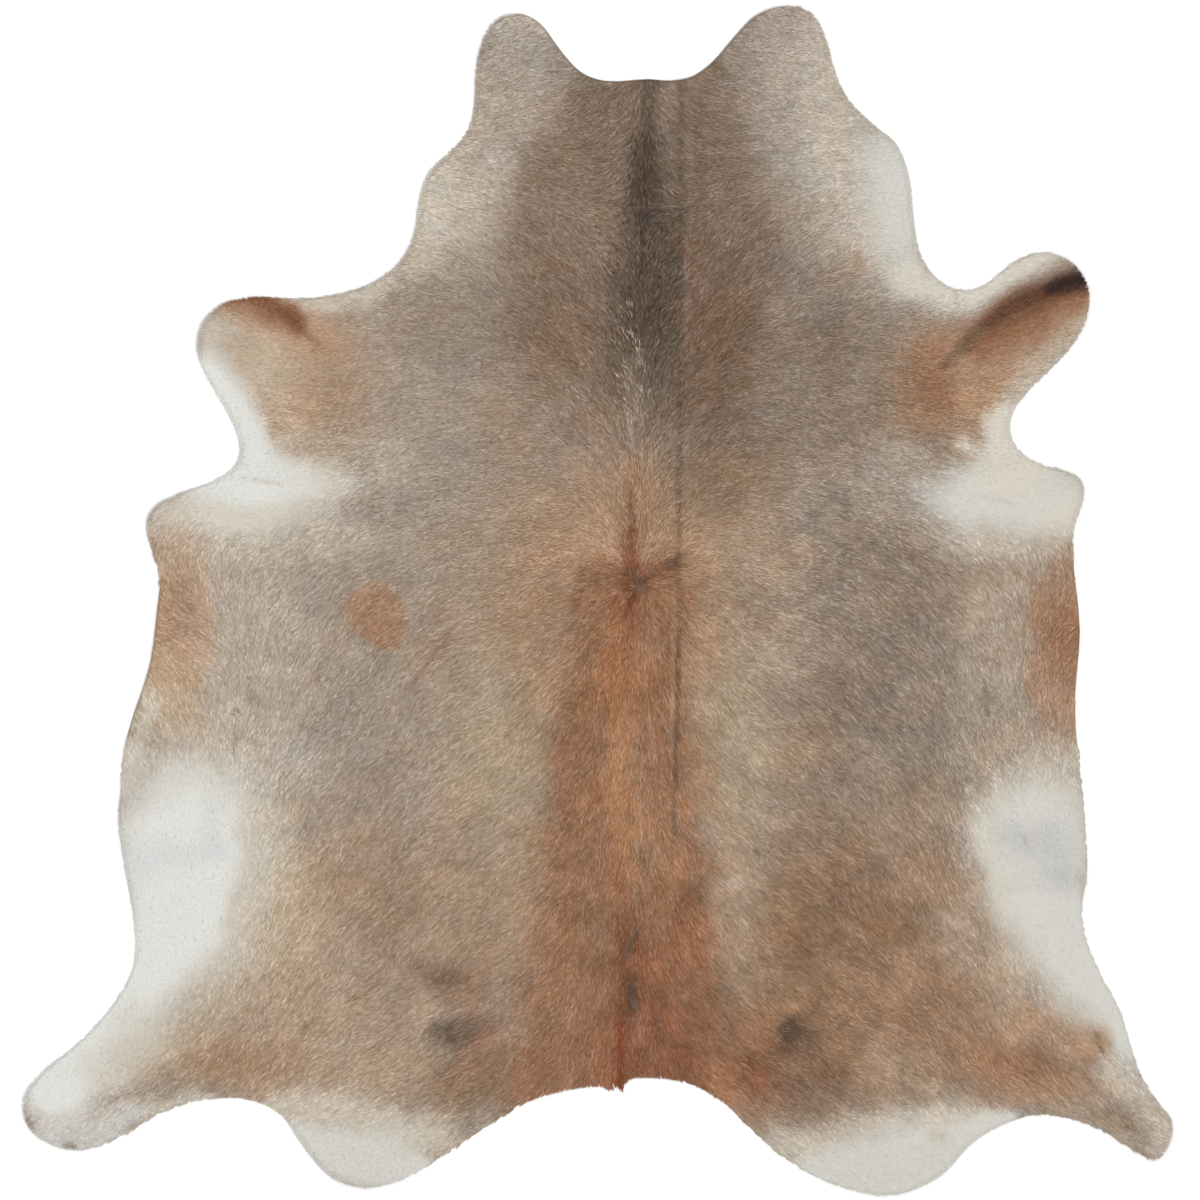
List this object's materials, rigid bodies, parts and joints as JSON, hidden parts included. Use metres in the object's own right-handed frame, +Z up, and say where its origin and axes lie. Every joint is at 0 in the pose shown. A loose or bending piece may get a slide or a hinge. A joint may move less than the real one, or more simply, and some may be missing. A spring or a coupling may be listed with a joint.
{
  "type": "cowhide rug",
  "caption": "Whole hair-on cowhide rug with a trimmed hide outline of neck lobes, shanks and rump, lying flat on its flesh side.",
  "frame": {"origin": "on the floor under the middle of the hide's overall width and length", "axes": "+Z up from the floor, +Y along the back line towards the neck, +X across the hide to the right as seen from above with the neck away"},
  "size_m": [2.125, 2.2, 0.0121],
  "materials": {
    "coat": "short dense lying hair in taupe, brown and cream, soft sheen",
    "skin": "tanned flesh side, sueded and matt, with a cut edge"
  },
  "bodies": {
    "root": {"hide": "coat"}
  },
  "joints": []
}
